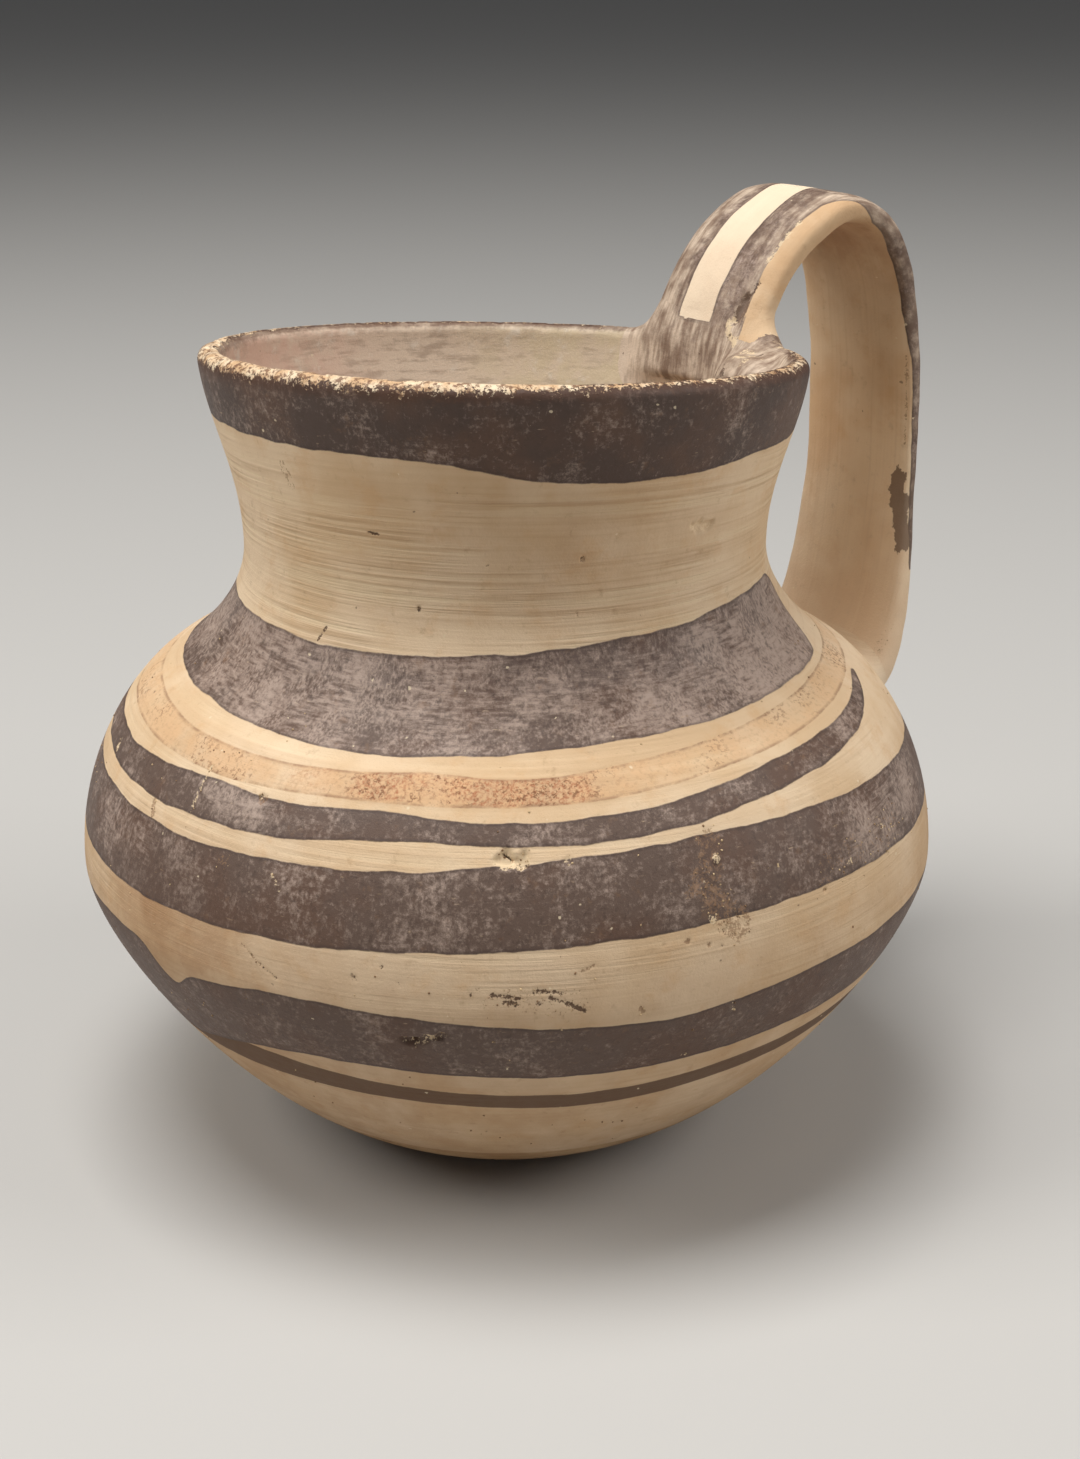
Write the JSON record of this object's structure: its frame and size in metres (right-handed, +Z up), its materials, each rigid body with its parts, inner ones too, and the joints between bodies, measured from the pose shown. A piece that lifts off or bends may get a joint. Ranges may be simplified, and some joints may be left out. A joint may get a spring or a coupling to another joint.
{
  "type": "single-handled jug",
  "caption": "Round-bellied open jug of painted matt clay with a short flared neck, a level foot and one tall flat strap handle that arches from inside the mouth to the belly.",
  "frame": {"origin": "centre of the flat resting face, under the belly's axis", "axes": "+Z up out of the mouth, +X towards the handle, +Y to the left of someone who looks along +X"},
  "size_m": [0.1813, 0.165, 0.1735],
  "materials": {
    "base_clay": "matt bare clay, darker than the slip",
    "banded_slip": "matt cream slip with dark grey-brown painted bands",
    "brushed_slip": "matt cream slip with fine brush strokes",
    "dark_paint": "matt grey-brown paint, worn to the slip on the rim",
    "strap_paint": "matt grey-brown paint with a cream stripe on the back of the strap"
  },
  "bodies": {
    "root": {"base_dish": "base_clay", "lower_wall": "banded_slip", "shoulder_wall": "banded_slip", "neck_collar": "brushed_slip", "flared_lip": "dark_paint", "strap_handle": "strap_paint", "mouth_luting": "strap_paint", "belly_luting": "brushed_slip"}
  },
  "joints": []
}
